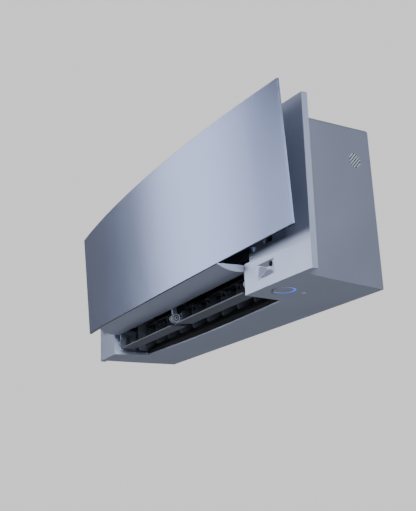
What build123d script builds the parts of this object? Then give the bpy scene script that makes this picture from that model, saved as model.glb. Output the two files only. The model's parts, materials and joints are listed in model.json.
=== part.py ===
"""Mini split indoor unit: a wall-mounted air conditioner with its front panel and flaps open.

Frame: X to the right seen from the front, Y towards the wall, Z up. The wall is the plane
Y = 0. The origin is the centre of the mounting plate's screw pattern, so every height below
is counted from the casing's lowest edge and the base planes bring it into the frame.
"""
import os
from math import atan2, cos, degrees, hypot, sin

from build123d import *

# ---------------------------------------------------------------- driving dimensions (mm)
HALF_WIDTH = 499.0      # front plate, centre to end
PLATE_TOP = 302.0       # top of the front plate
BODY_TOP = 277.0        # top of the body behind it
END_DEPTH = 170.0       # wall to the plate's front at its ends
PLATE_BOW = 27.0        # how far the plate bows forward at its middle
CHIN_BOW = 43.0         # the same for the two lower corner blocks
PLATE_THICK = 10.6
LEAN = 8.0              # the plate's top stands back by this much
RISE = 22.0             # the underside's front corners stand higher than its middle
WALL = 2.6              # moulded wall thickness
DATUM = 150.0           # centre of the mounting plate above the casing's lowest edge

BODY_HALF_REAR = 440.0
BODY_TAPER = 0.192      # growth of the half width per mm forward of the wall

SLOT_BACK = 118.0       # outlet slot: wall to its back edge
SLOT_HALF_BACK = 311.0
SLOT_HALF_FRONT = 326.0
SLOT_FRONT = 196.0
CHIN_TOP = 60.5
WINDOW_HALF = 324.0     # filter window in the plate
ARM_SLOT = (364.0, 391.0)   # slots in the plate for the panel's arms and brackets
ARM_SLOT_LOW, ARM_SLOT_HIGH = 86.0, 262.0
RECESS_HALF = 436.5     # shallow recess that runs on past the window
RECESS_DEEP = 5.0
WINDOW_LOW = 79.0
WINDOW_HIGH = 272.0

PANEL_HALF = 498.0
PANEL_BOW = 26.0
PANEL_THICK = 4.0
PANEL_LOW_Z, PANEL_LOW_Y = 83.0, -196.0
PANEL_TOP_Z, PANEL_TOP_Y = 320.0, -204.0
PANEL_DROOP = 10.0      # the lower edge hangs lower at its middle

FLAP_AXIS = (-179.0, 31.0)      # (y, z) of the main flap's hinge
BLADE_AXIS = (-170.5, 38.5)     # (y, z) of the second flap's hinge
FLAP_PIN_R, BLADE_PIN_R = 2.5, 2.0
BOSS_R = 9.5                    # round boss where the middle bracket carries the main flap
CENTRE_X = -7.0                 # middle of that bracket
BRACKET_HALF, CHEEK_THICK = 6.5, 3.5    # its half width, and each of its two cheeks
RUN = 0.05                      # radial running clearance of every pin

ARM_X = 380.0                   # inner face of the panel arms
ARM_THICK = 5.0
ARM_PIN_R = 3.0
UPPER_FRAME, UPPER_PANEL = (-146.6, 237.0), (-185.0, 205.0)
LOWER_FRAME, LOWER_PANEL = (-148.1, 150.2), (-184.0, 125.0)

FAN_AXIS = (-80.0, 128.0)
FAN_R = 45.0
FAN_HALF = 316.0
SHAFT_R = 4.0
DUCT_END = 324.0                # inner face of the duct's end plates

VANE_AXIS_Y = -108.0
VANE_FIRST, VANE_PITCH, VANES_PER_SIDE = 35.0, 66.0, 5
VANE_PIN_R = 1.6
LINK_Y = -122.0

LAMP_X, LAMP_Y, LAMP_R = 372.0, -148.0, 23.0
BUTTON_X, BUTTON_Y, BUTTON_R = 370.0, -109.0, 4.0
GRILLE_Y, GRILLE_Z, GRILLE_R = -36.0, 217.0, 13.0

SHEET = 2.5                     # wall thickness of the chassis, the pan and the fan's rings
BACK_WALL_Y = -9.5              # front of the chassis' back wall
MIRROR = (-1, 1)                # signs of the left and the right side

# base planes: heights are counted from the casing's lowest edge
PLAN = Plane(origin=(0, 0, -DATUM))
SIDE = Plane(origin=(0, 0, -DATUM), x_dir=(0, 1, 0), z_dir=(1, 0, 0))    # local (y, z), normal +X
FACE = Plane(origin=(0, 0, -DATUM), x_dir=(1, 0, 0), z_dir=(0, -1, 0))   # local (x, z), offset d is y = -d

pieces = {}
SIDES = tuple(zip(("left", "right"), MIRROR))


def keep(label, piece):
    """Name a finished piece and set it aside for export."""
    piece.part.label = label
    pieces[label] = piece.part


def bow(x, depth, bulge):
    """Y of a front face that stands depth off the wall at the plate's ends and bulges between."""
    return -(depth + bulge * (1 - (x / HALF_WIDTH) ** 2))


def lean_at(z):
    """How far the plate has leant back at height z."""
    return LEAN * z / PLATE_TOP


def bowed_slab(half, depth, bulge, thick, low, high):
    """An upright plate, bowed in plan, that leans back as it rises."""
    end_y = bow(half, depth, bulge) + lean_at(low)
    mid_y = bow(0, depth, bulge) + lean_at(low)
    with BuildPart() as slab:
        with BuildSketch(PLAN.offset(low)):
            with BuildLine():
                ThreePointArc((-half, end_y), (0, mid_y), (half, end_y))
                Line((half, end_y), (half, end_y + thick))
                ThreePointArc((half, end_y + thick), (0, mid_y + thick), (-half, end_y + thick))
                Line((-half, end_y + thick), (-half, end_y))
            make_face()
        rise = high - low
        drift = lean_at(rise)
        extrude(amount=hypot(rise, drift), dir=(0, drift, rise))
    return slab.part


def ahead_of_plate(depth):
    """All that lies ahead of the plate's arc, depth off the wall at the ends."""
    return bowed_slab(HALF_WIDTH + 30, depth + 100, PLATE_BOW, 100, -30, PLATE_TOP + 30)


def under_casing(lift):
    """All that lies below the casing's ruled underside, or below that surface lifted."""
    far, span = 240.0, 520.0
    corner = RISE * (span / HALF_WIDTH) ** 2 + lift
    with BuildPart() as below:
        with BuildSketch(FACE):
            with BuildLine():
                Polyline((span, lift), (span, -60), (-span, -60), (-span, lift))
                Line((-span, lift), (span, lift))
            make_face()
        with BuildSketch(FACE.offset(far)):
            with BuildLine():
                Polyline((span, corner), (span, -60), (-span, -60), (-span, corner))
                ThreePointArc((-span, corner), (0, lift), (span, corner))
            make_face()
        loft(ruled=True)
    return below.part


def body_block(inset, top, lift, plate_depth, corner):
    """The body behind the plate: tapered in plan, cut by the underside and by the plate."""
    half_rear = BODY_HALF_REAR - inset
    front = 230.0
    half_front = half_rear + BODY_TAPER * front
    with BuildPart() as block:
        with BuildSketch(PLAN.offset(-10)):
            Polygon((-half_rear, 0), (-half_front, -front), (half_front, -front), (half_rear, 0), align=None)
        extrude(amount=top + 10)
        if corner:
            fillet(block.faces().sort_by(Axis.Z)[-1].edges().sort_by(Axis.Y)[1:], corner)
        add(under_casing(lift), mode=Mode.SUBTRACT)
        add(ahead_of_plate(plate_depth), mode=Mode.SUBTRACT)
    return block.part


def underside_z(x, y):
    """Height of the casing's underside."""
    return RISE * (x / HALF_WIDTH) ** 2 * -y / 240.0


def slot_half(y):
    """Half width of the outlet slot at depth y."""
    grow = (SLOT_HALF_FRONT - SLOT_HALF_BACK) / (SLOT_FRONT - SLOT_BACK)
    return SLOT_HALF_BACK + grow * (-SLOT_BACK - y)


def roof_z(y):
    """Height of the duct's roof, the underside of the drain pan."""
    return 96.0 + (y + 131.0) * 21.0 / 49.0


# ---------------------------------------------------------------- front casing
SLOT_FAR = -245.0               # the slot's cutting tool runs this far, clear of the chins
SLOT_SINK = 20.0                # and starts this far below the casing
with BuildPart() as slot_tool:
    with BuildSketch(PLAN.offset(-SLOT_SINK)):
        Polygon((-slot_half(-SLOT_BACK), -SLOT_BACK), (-slot_half(SLOT_FAR), SLOT_FAR),
                (slot_half(SLOT_FAR), SLOT_FAR), (slot_half(-SLOT_BACK), -SLOT_BACK), align=None)
    extrude(amount=CHIN_TOP + SLOT_SINK)

# the duct's outer cheeks: their lower lip follows the closed flap, the rest stands back
CHEEK_OUT, CHEEK_IN = 331.0, 327.5
with BuildPart() as cheeks:
    with BuildSketch(SIDE.offset(-CHEEK_OUT)):
        Polygon((-190, -12), (-190, CHIN_TOP), (-141, CHIN_TOP), (-141, 12), (-114, 12), (-114, -12),
                align=None)
    extrude(amount=2 * CHEEK_OUT)
    add(under_casing(0), mode=Mode.SUBTRACT)
    add(slot_tool.part, mode=Mode.SUBTRACT)

lamp_slope_x = 2 * RISE * LAMP_X / HALF_WIDTH ** 2 * -LAMP_Y / 240.0
lamp_slope_y = -RISE * (LAMP_X / HALF_WIDTH) ** 2 / 240.0
LAMP_PLANE = Plane(origin=(LAMP_X, LAMP_Y, underside_z(LAMP_X, LAMP_Y) - DATUM),
                   x_dir=(1, 0, lamp_slope_x), z_dir=(-lamp_slope_x, -lamp_slope_y, 1))
GRILLE_PLANE = Plane(origin=(BODY_HALF_REAR - BODY_TAPER * GRILLE_Y, GRILLE_Y, GRILLE_Z - DATUM),
                     x_dir=(0, 0, 1), z_dir=(1, BODY_TAPER, 0))

EYE_X, EYE_Z, EYE_R = 394.6, 46.0, 4.0
# plane of the sensor recess, laid on the chin's bowed face
RECESS_PLANE = Plane(origin=(386.0, -186.2, 38.8 - DATUM), x_dir=(52, 6.9, 0), z_dir=(6.9, -52, 0))
RECESS_WIDE, RECESS_HIGH, RECESS_TILT, RECESS_FLOOR = 52.0, 27.0, 3.0, 6.2
CATCH_XS, CATCH_THICK = (332.0, 338.0), 2.4     # catches beside the window's lower corners
CATCH_PROFILE = ((4, 68), (-4, 68), (-4, 71), (-2, 72), (-2, 88), (4, 88))      # (past the recess floor, z)
POCKET_TIP, POCKET_FOOT, POCKET_BEND = (-197.0, 58.0), (-178.0, 21.0), (-169.5, 13.4)
POCKET_FLOOR = (POCKET_BEND, (-146.7, 11.2), (-110.0, 8.2))      # (y, z) along the pocket's lower edge
RIB_NEAR, RIB_FAR, RIB_HIGH = -112.5, -110.5, 13.8               # sealing rib behind the upstand
RIB_LOW_SIDE = 13.0
SCREW_DEEP = 5.0                # from the plate's front to a casing screw's seat
UPSTAND_HALF = 318.0
SCREW_XS, SCREW_Z, SCREW_R = (-400, -140, 140, 400), 287.0, 3.5


def screw_face(x):
    """Distance of the plate's front from the wall at a casing screw."""
    return -bow(x, END_DEPTH, PLATE_BOW) - lean_at(SCREW_Z)


with BuildPart() as recess:
    add(bowed_slab(HALF_WIDTH, END_DEPTH + 20, PLATE_BOW, 20 + RECESS_DEEP, WINDOW_LOW, WINDOW_HIGH))
    with BuildSketch(FACE.offset(100)):
        with Locations((0, DATUM)):
            Rectangle(2 * RECESS_HALF, 400)
    extrude(amount=160, mode=Mode.INTERSECT)
TOP_HALF, TOP_FRONT, TOP_REAR = 428.0, -146.0, -24.0
TOP_SEAT = 8.0                  # depth of the top grille's seat

with BuildPart() as front_casing:
    add(bowed_slab(HALF_WIDTH, END_DEPTH, PLATE_BOW, PLATE_THICK, -12, PLATE_TOP))
    add(bowed_slab(HALF_WIDTH, END_DEPTH, CHIN_BOW, PLATE_THICK, -12, CHIN_TOP))
    add(under_casing(0), mode=Mode.SUBTRACT)
    add(body_block(0, BODY_TOP, 0, END_DEPTH - PLATE_THICK / 2, 6))
    add(body_block(WALL, BODY_TOP - WALL, WALL, END_DEPTH - PLATE_THICK, 0), mode=Mode.SUBTRACT)
    with BuildSketch(FACE.offset(120)):
        with Locations((0, (WINDOW_LOW + WINDOW_HIGH) / 2)):
            Rectangle(2 * WINDOW_HALF, WINDOW_HIGH - WINDOW_LOW)
        with Locations((0, (CHIN_TOP + WINDOW_LOW) / 2)):
            Rectangle(2 * (WINDOW_HALF - 2), WINDOW_LOW - CHIN_TOP + 2)
        for sign in MIRROR:
            with Locations((sign * sum(ARM_SLOT) / 2, (ARM_SLOT_LOW + ARM_SLOT_HIGH) / 2)):
                RectangleRounded(ARM_SLOT[1] - ARM_SLOT[0], ARM_SLOT_HIGH - ARM_SLOT_LOW, 4)
    extrude(amount=120, mode=Mode.SUBTRACT)
    add(slot_tool.part, mode=Mode.SUBTRACT)
    add(cheeks.part)
    # pocket above the cheeks' lower lip, and the holes that the flaps' pins turn in
    with BuildSketch(SIDE.offset(-CHEEK_IN)):
        with BuildLine():
            Line(POCKET_TIP, POCKET_FOOT)
            ThreePointArc(POCKET_FOOT, (-174.8, 16.2), POCKET_BEND)
            Polyline(*POCKET_FLOOR, (POCKET_FLOOR[-1][0], WINDOW_LOW), (POCKET_TIP[0], WINDOW_LOW), POCKET_TIP)
        make_face()
    extrude(amount=2 * CHEEK_IN, mode=Mode.SUBTRACT)
    for axis, radius in ((FLAP_AXIS, FLAP_PIN_R), (BLADE_AXIS, BLADE_PIN_R)):
        with BuildSketch(SIDE.offset(-CHEEK_OUT - 1)):
            with Locations(axis):
                Circle(radius + RUN)
        extrude(amount=2 * CHEEK_OUT + 2, mode=Mode.SUBTRACT)
    # upstand along the slot's back edge, up to the duct's scroll, and a sealing rib behind it
    with BuildSketch(SIDE.offset(-UPSTAND_HALF)):
        Polygon((-SLOT_BACK, 1), (-SLOT_BACK, 9), (-SLOT_BACK + 1, 10), (-SLOT_BACK + WALL, 10),
                (-SLOT_BACK + WALL, 1), align=None)
        Polygon((RIB_NEAR, 1), (RIB_NEAR, RIB_LOW_SIDE), (RIB_FAR, RIB_HIGH), (RIB_FAR, 1), align=None)
    extrude(amount=2 * UPSTAND_HALF)
    add(under_casing(0), mode=Mode.SUBTRACT)
    # shallow recess round the window
    add(recess.part, mode=Mode.SUBTRACT)
    # two small catches beside the window's lower corners hold the closed panel
    for sign in MIRROR:
        for catch_x in CATCH_XS:
            face_y = bow(catch_x, END_DEPTH, PLATE_BOW) + RECESS_DEEP
            with BuildSketch(SIDE.offset(sign * catch_x - CATCH_THICK / 2)):
                Polygon(*[(face_y + past, z) for past, z in CATCH_PROFILE], align=None)
            extrude(amount=CATCH_THICK)
    # counterbores of the casing screws
    for screw_x in SCREW_XS:
        with BuildSketch(FACE.offset(screw_face(screw_x) - SCREW_DEEP)):
            with Locations((screw_x, SCREW_Z)):
                Circle(SCREW_R)
        extrude(amount=40, mode=Mode.SUBTRACT)
    # seat of the top grille
    with BuildSketch(PLAN.offset(BODY_TOP - TOP_SEAT)):
        with Locations((0, (TOP_FRONT + TOP_REAR) / 2)):
            Rectangle(2 * TOP_HALF, TOP_REAR - TOP_FRONT)
    extrude(amount=12, mode=Mode.SUBTRACT)
    # faceted recess of the presence sensor, and the sensor's hole
    with BuildSketch(RECESS_PLANE.offset(0.6)):
        Rectangle(RECESS_WIDE, RECESS_HIGH, rotation=RECESS_TILT)
    with BuildSketch(RECESS_PLANE.offset(-RECESS_FLOOR)):
        with Locations((-0.7, 2.7)):
            Rectangle(6, 4, rotation=RECESS_TILT)
    loft(ruled=True, mode=Mode.SUBTRACT)
    with BuildSketch(FACE.offset(150)):
        with Locations((EYE_X, EYE_Z)):
            Circle(EYE_R)
    extrude(amount=50, mode=Mode.SUBTRACT)
    # holes of the lamp, the button and the side grille
    with BuildSketch(LAMP_PLANE):
        Circle(LAMP_R)
    extrude(amount=12, both=True, mode=Mode.SUBTRACT)
    with BuildSketch(PLAN.offset(-5)):
        with Locations((BUTTON_X, BUTTON_Y)):
            Circle(BUTTON_R + 0.3)
    extrude(amount=25, mode=Mode.SUBTRACT)
    with BuildSketch(GRILLE_PLANE):
        Circle(GRILLE_R)
    extrude(amount=6, both=True, mode=Mode.SUBTRACT)
keep("front_casing", front_casing)

# ---------------------------------------------------------------- top intake grille
with BuildPart() as intake_grille:
    with BuildSketch(PLAN.offset(BODY_TOP - WALL)):
        with Locations((0, (TOP_FRONT + TOP_REAR) / 2)):
            Rectangle(2 * TOP_HALF, TOP_REAR - TOP_FRONT)
            with GridLocations(85, 11.6, 10, 10):
                Rectangle(78, 8, mode=Mode.SUBTRACT)
    extrude(amount=WALL)
    with BuildSketch(PLAN.offset(BODY_TOP - TOP_SEAT)):
        with Locations((0, (TOP_FRONT + TOP_REAR) / 2)):
            Rectangle(2 * TOP_HALF, TOP_REAR - TOP_FRONT)
            Rectangle(2 * TOP_HALF - 5, TOP_REAR - TOP_FRONT - 5, mode=Mode.SUBTRACT)
    extrude(amount=TOP_SEAT - WALL)
keep("intake_grille", intake_grille)

# ---------------------------------------------------------------- front panel
panel_slope = (PANEL_TOP_Y - PANEL_LOW_Y) / (PANEL_TOP_Z - PANEL_LOW_Z)


def panel_y(x, z):
    """Y of the open panel's front face."""
    return PANEL_LOW_Y + panel_slope * (z - PANEL_LOW_Z) - PANEL_BOW * (1 - (x / PANEL_HALF) ** 2)


def panel_slab(front_gap, thick, half, low, high):
    """A layer of the panel, front_gap behind its face."""
    end_y = panel_y(half, low) + front_gap
    mid_y = panel_y(0, low) + front_gap
    with BuildPart() as slab:
        with BuildSketch(PLAN.offset(low)):
            with BuildLine():
                ThreePointArc((-half, end_y), (0, mid_y), (half, end_y))
                Line((half, end_y), (half, end_y + thick))
                ThreePointArc((half, end_y + thick), (0, mid_y + thick), (-half, end_y + thick))
                Line((-half, end_y + thick), (-half, end_y))
            make_face()
        rise = high - low
        extrude(amount=hypot(rise, rise * panel_slope), dir=(0, rise * panel_slope, rise))
    return slab.part


panel_low = PANEL_LOW_Z - PANEL_DROOP - 2
PANEL_RIBS, RIB_THICK, RIB_DEEP = (-330, -165, 0, 165, 330), 2.5, 5.0
RIB_FOOT, RIB_LONG, RIB_SINK = 105.0, 178.0, 0.5
trim_half = PANEL_HALF + 2
with BuildPart() as front_panel:
    add(panel_slab(0, PANEL_THICK, PANEL_HALF, panel_low, PANEL_TOP_Z))
    with BuildSketch(FACE.offset(170)):
        with BuildLine():
            ThreePointArc((-trim_half, PANEL_LOW_Z), (0, PANEL_LOW_Z - PANEL_DROOP), (trim_half, PANEL_LOW_Z))
            Polyline((trim_half, PANEL_LOW_Z), (trim_half, 40), (-trim_half, 40), (-trim_half, PANEL_LOW_Z))
        make_face()
    extrude(amount=90, mode=Mode.SUBTRACT)
    # stiffening ribs on the back
    for rib_x in PANEL_RIBS:
        rib_y = panel_y(abs(rib_x) + 1.5, RIB_FOOT) + PANEL_THICK - RIB_SINK
        with BuildSketch(PLAN.offset(RIB_FOOT)):
            with Locations((rib_x, rib_y + RIB_DEEP / 2)):
                Rectangle(RIB_THICK, RIB_DEEP)
        extrude(amount=hypot(RIB_LONG, RIB_LONG * panel_slope), dir=(0, panel_slope, 1))
keep("front_panel", front_panel)

# brackets on the back of the panel, two ears each, and the pins that the arms turn on
EAR_THICK, EAR_R, EAR_FOOT = 5.0, 7.0, 14.0     # thickness, eye radius and half height where it meets the panel
EAR_PIN_LONG = 10.5
STRIP_LOW, STRIP_HIGH, STRIP_WIDE, STRIP_THICK = 108.0, 222.0, 18.0, 5.0
for name, sign in SIDES:
    ear_x = sign * (ARM_X - 5.5)
    with BuildPart() as bracket:
        for pivot in (UPPER_PANEL, LOWER_PANEL):
            skin_y = panel_y(ARM_X, pivot[1]) + PANEL_THICK
            eye_foot, eye_head = (pivot[0], pivot[1] - EAR_R), (pivot[0], pivot[1] + EAR_R)
            ear_foot, ear_head = (skin_y, pivot[1] - EAR_FOOT), (skin_y, pivot[1] + EAR_FOOT)
            with BuildSketch(SIDE.offset(ear_x - EAR_THICK / 2)):
                with BuildLine():
                    Polyline(ear_foot, eye_foot)
                    ThreePointArc(eye_foot, (pivot[0] + EAR_R, pivot[1]), eye_head)
                    Polyline(eye_head, ear_head, ear_foot)
                make_face()
            extrude(amount=EAR_THICK)
            with BuildSketch(SIDE.offset(ear_x)):
                with Locations(pivot):
                    Circle(ARM_PIN_R)
            extrude(amount=sign * EAR_PIN_LONG)
        # foot strip that follows the panel's back
        low_y = panel_y(ARM_X, STRIP_LOW) + PANEL_THICK + 0.2
        high_y = panel_y(ARM_X, STRIP_HIGH) + PANEL_THICK + 0.2
        with BuildSketch(SIDE.offset(ear_x - STRIP_WIDE / 2)):
            Polygon((low_y, STRIP_LOW), (high_y, STRIP_HIGH), (high_y + STRIP_THICK, STRIP_HIGH),
                    (low_y + STRIP_THICK, STRIP_LOW), align=None)
        extrude(amount=STRIP_WIDE)
        add(panel_slab(-20, 20 + PANEL_THICK, PANEL_HALF, 80, 260), mode=Mode.SUBTRACT)
    keep("panel_bracket_" + name, bracket)


ARM_EYE_R = 7.5
OPEN_PLAY = 0.9         # radial play of the lower arms' panel eyes


def arm(start, end, plane_x, thick, hole_r):
    """A flat link with a round eye at each end."""
    angle = atan2(end[1] - start[1], end[0] - start[0])
    across = (-sin(angle) * ARM_EYE_R, cos(angle) * ARM_EYE_R)
    with BuildPart() as link:
        with BuildSketch(SIDE.offset(plane_x)):
            Polygon((start[0] + across[0], start[1] + across[1]), (end[0] + across[0], end[1] + across[1]),
                    (end[0] - across[0], end[1] - across[1]), (start[0] - across[0], start[1] - across[1]),
                    align=None)
            with Locations(start, end):
                Circle(ARM_EYE_R)
            with Locations(start, end):
                Circle(hole_r, mode=Mode.SUBTRACT)
        extrude(amount=thick)
    return link


for name, sign in SIDES:
    inner = ARM_X if sign > 0 else -ARM_X - ARM_THICK
    keep("upper_arm_" + name, arm(UPPER_FRAME, UPPER_PANEL, inner, ARM_THICK, ARM_PIN_R + RUN))
    # the lower arm is the linkage's open pivot: its panel eye has clearance
    keep("lower_arm_" + name, arm(LOWER_FRAME, LOWER_PANEL, inner, ARM_THICK, ARM_PIN_R + OPEN_PLAY))

# housings of the panel drive: fixed pins for the four arms
HOUSING_FRONT, HOUSING_REAR, HOUSING_LOW, HOUSING_HIGH = -158.0, -122.0, 138.0, 250.0
HOUSING_WIDE, HOUSING_CORNER = 36.0, 6.0
for name, sign in SIDES:
    near = sign * (ARM_X + ARM_THICK + 1.5)
    with BuildPart() as housing:
        with BuildSketch(SIDE.offset(near)):
            Polygon((HOUSING_FRONT, HOUSING_LOW), (HOUSING_FRONT, HOUSING_HIGH), (HOUSING_REAR, HOUSING_HIGH),
                    (HOUSING_REAR, HOUSING_LOW), align=None)
        extrude(amount=sign * HOUSING_WIDE)
        fillet(housing.edges().filter_by(Axis.X), HOUSING_CORNER)
        with BuildSketch(SIDE.offset(near)):
            with Locations(UPPER_FRAME, LOWER_FRAME):
                Circle(ARM_PIN_R)
        extrude(amount=-sign * (ARM_THICK + 4))
    keep("panel_drive_" + name, housing)

# ---------------------------------------------------------------- main flap
flap_end = SLOT_HALF_FRONT - 3.0
FLAP_TIP, FLAP_NOSE, FLAP_MIDDLE = (-236.0, 65.0), (-235.4, 63.4), (-190.0, 50.0)
FLAP_REAR, FLAP_CREASE = (-174.4, 56.0), (-191.0, 61.5)
END_ARM_X, FLAP_ARM_THICK, END_PIN_X = 309.5, 5.0, 312.0
with BuildPart() as main_flap:
    with BuildSketch(SIDE.offset(-flap_end)):
        with BuildLine():
            Line(FLAP_TIP, FLAP_NOSE)
            ThreePointArc(FLAP_NOSE, (-214, 52.8), FLAP_MIDDLE)
            ThreePointArc(FLAP_MIDDLE, (-180, 52), FLAP_REAR)
            Polyline(FLAP_REAR, (-175.4, 58.8), FLAP_CREASE, FLAP_TIP)
        make_face()
    extrude(amount=2 * flap_end)
    # ends cut to the slot's taper, as the flap lies when it is shut
    for sign in MIRROR:
        with BuildSketch(PLAN.offset(40)):
            Polygon((sign * 309.6, -240), (sign * 320.4, -170), (sign * 340, -170), (sign * 340, -240),
                    align=None)
        extrude(amount=40, mode=Mode.SUBTRACT)
    # arms down to the hinge: one at each end and one in the middle
    for centre, boss_r in ((-END_ARM_X, BOSS_R - 1), (CENTRE_X, 5.5), (END_ARM_X, BOSS_R - 1)):
        with BuildSketch(SIDE.offset(centre - FLAP_ARM_THICK / 2)):
            Polygon((-185.5, 53), (-176.5, 56), (-174.2, 33), (-183.6, 33), align=None)
            with Locations(FLAP_AXIS):
                Circle(boss_r)
        extrude(amount=FLAP_ARM_THICK)
    with BuildSketch(SIDE.offset(CENTRE_X - FLAP_ARM_THICK / 2)):
        with Locations(FLAP_AXIS):
            Circle(FLAP_PIN_R + RUN)
    extrude(amount=FLAP_ARM_THICK, mode=Mode.SUBTRACT)
    for sign in MIRROR:
        with BuildSketch(SIDE.offset(sign * END_PIN_X)):
            with Locations(FLAP_AXIS):
                Circle(FLAP_PIN_R)
        extrude(amount=sign * (CHEEK_OUT - END_PIN_X))
keep("main_flap", main_flap)

# ---------------------------------------------------------------- second flap: two blades on one hinge line
BLADE_FRONT, BLADE_REAR, BLADE_THICK = (-187.0, 17.5), (-152.0, 18.5), 2.4
BLADE_INNER, BLADE_OUTER, BLADE_ARM_THICK = 14.0, 304.0, 3.0       # each blade's ends, and its hinge arms
blade_faces = (-BLADE_THICK / 2, BLADE_THICK / 2)
front_low, front_high = [(BLADE_FRONT[0], BLADE_FRONT[1] + face) for face in blade_faces]
rear_low, rear_high = [(BLADE_REAR[0], BLADE_REAR[1] + face) for face in blade_faces]
with BuildPart() as lower_flap:
    for low_x in (-BLADE_OUTER, BLADE_INNER):
        with BuildSketch(SIDE.offset(low_x)):
            with BuildLine():
                Polyline(front_low, rear_low, rear_high)
                ThreePointArc(rear_high, (-170, 19.6), front_high)
                Line(front_high, front_low)
            make_face()
        extrude(amount=BLADE_OUTER - BLADE_INNER)
    for low_x in (-BLADE_OUTER, -BLADE_INNER - BLADE_ARM_THICK, BLADE_INNER, BLADE_OUTER - BLADE_ARM_THICK):
        with BuildSketch(SIDE.offset(low_x)):
            Polygon((-176, 18.5), (-160, 18.5), (-167, 39), (-174, 39), align=None)
            with Locations(BLADE_AXIS):
                Circle(4)
        extrude(amount=BLADE_ARM_THICK)
    for low_x, high_x in ((-CHEEK_OUT, -303), (-16, 16), (303, CHEEK_OUT)):
        with BuildSketch(SIDE.offset(low_x)):
            with Locations(BLADE_AXIS):
                Circle(BLADE_PIN_R)
        extrude(amount=high_x - low_x)
keep("lower_flap", lower_flap)

# bracket between the blades: carries the main flap's middle boss and the second flap's shaft
GROOVE_DEEP = 1.0
with BuildPart() as centre_bracket:
    for low_x in (CENTRE_X - BRACKET_HALF, CENTRE_X + BRACKET_HALF - CHEEK_THICK):
        with BuildSketch(SIDE.offset(low_x)):
            Polygon((-183, 34), (-174.5, 43), (-158, roof_z(-158)), (-140, roof_z(-140)), (-166, 35.5),
                    (-175.5, 27.2), align=None)
            with Locations(FLAP_AXIS):
                Circle(BOSS_R)
            with Locations(BLADE_AXIS):
                Circle(BLADE_PIN_R + RUN, mode=Mode.SUBTRACT)
        extrude(amount=CHEEK_THICK)
    # ring groove round the hub on each outer face
    for groove_x in (CENTRE_X - BRACKET_HALF, CENTRE_X + BRACKET_HALF - GROOVE_DEEP):
        with BuildSketch(SIDE.offset(groove_x)):
            with Locations(FLAP_AXIS):
                Circle(BOSS_R - 2)
                Circle(BOSS_R - 5.5, mode=Mode.SUBTRACT)
        extrude(amount=GROOVE_DEEP, mode=Mode.SUBTRACT)
    with BuildSketch(SIDE.offset(CENTRE_X - 6)):
        with Locations(FLAP_AXIS):
            Circle(FLAP_PIN_R)
    extrude(amount=12)
    with BuildSketch(SIDE.offset(CENTRE_X - BRACKET_HALF)):
        Polygon((-158, roof_z(-158)), (-140, roof_z(-140)), (-142, roof_z(-140) - 4), (-157, roof_z(-158) - 4),
                align=None)
    extrude(amount=2 * BRACKET_HALF)
keep("centre_bracket", centre_bracket)

# ---------------------------------------------------------------- vertical vanes, their rail and links
vane_xs = [VANE_FIRST + VANE_PITCH * i for i in range(VANES_PER_SIDE)]
RAIL_LOW, RAIL_HIGH = 68.0, 72.0
LINK_LOW, LINK_HIGH = 67.0, 70.0
VANE_THICK, VANE_HUB_R, VANE_HUB_LOW = 1.6, 3.5, 61.0
PEG_R, PEG_LOW = 1.2, 58.0
LINK_REACH = 6.0        # a link bar runs past its outermost pegs by this much
for name, sign in SIDES:
    for number, vane_x in enumerate(vane_xs, start=1):
        centre = sign * vane_x
        with BuildPart() as vane:
            with BuildSketch(SIDE.offset(centre - VANE_THICK / 2)):
                with BuildLine():
                    ThreePointArc((-89, 41), (-106, 27), (-126, 17.5))
                    Polyline((-126, 17.5), (-128, 21), (-128, 60), (-124, 63), (-104, 67), (-92, 65), (-89, 60),
                             (-89, 41))
                make_face()
            extrude(amount=VANE_THICK)
            with BuildSketch(PLAN.offset(VANE_HUB_LOW)):
                with Locations((centre, VANE_AXIS_Y)):
                    Circle(VANE_HUB_R)
            extrude(amount=6)
            with BuildSketch(PLAN.offset(60)):
                with Locations((centre, VANE_AXIS_Y)):
                    Circle(VANE_PIN_R)
            extrude(amount=RAIL_HIGH - 60)
            # slotted lug that the link's peg drives
            with BuildSketch(PLAN.offset(62)):
                with Locations((centre, LINK_Y - 1)):
                    RectangleRounded(9, 12, 3)
            extrude(amount=2.5)
            with BuildSketch(PLAN.offset(55)):
                with Locations((centre, LINK_Y - 1)):
                    SlotOverall(7.4, 3.6, rotation=90)
            extrude(amount=12, mode=Mode.SUBTRACT)
        keep(f"vane_{name}_{number}", vane)

    inner, outer = sign * (VANE_FIRST - LINK_REACH), sign * (vane_xs[-1] + LINK_REACH)
    with BuildPart() as link:
        with BuildSketch(PLAN.offset(LINK_LOW)):
            with Locations(((inner + outer) / 2, LINK_Y)):
                RectangleRounded(abs(outer - inner), 6, 2.5)
        extrude(amount=LINK_HIGH - LINK_LOW)
        with BuildSketch(PLAN.offset(PEG_LOW)):
            with Locations([(sign * vane_x, LINK_Y) for vane_x in vane_xs]):
                Circle(PEG_R)
        extrude(amount=LINK_LOW - PEG_LOW)
    keep("vane_link_" + name, link)

with BuildPart() as vane_rail:
    with BuildSketch(PLAN.offset(RAIL_LOW)):
        with Locations((0, VANE_AXIS_Y)):
            Rectangle(2 * DUCT_END, 9)
        with Locations([(sign * vane_x, VANE_AXIS_Y) for sign in (-1, 1) for vane_x in vane_xs]):
            Circle(VANE_PIN_R + RUN, mode=Mode.SUBTRACT)
    extrude(amount=RAIL_HIGH - RAIL_LOW)
keep("vane_rail", vane_rail)

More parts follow.
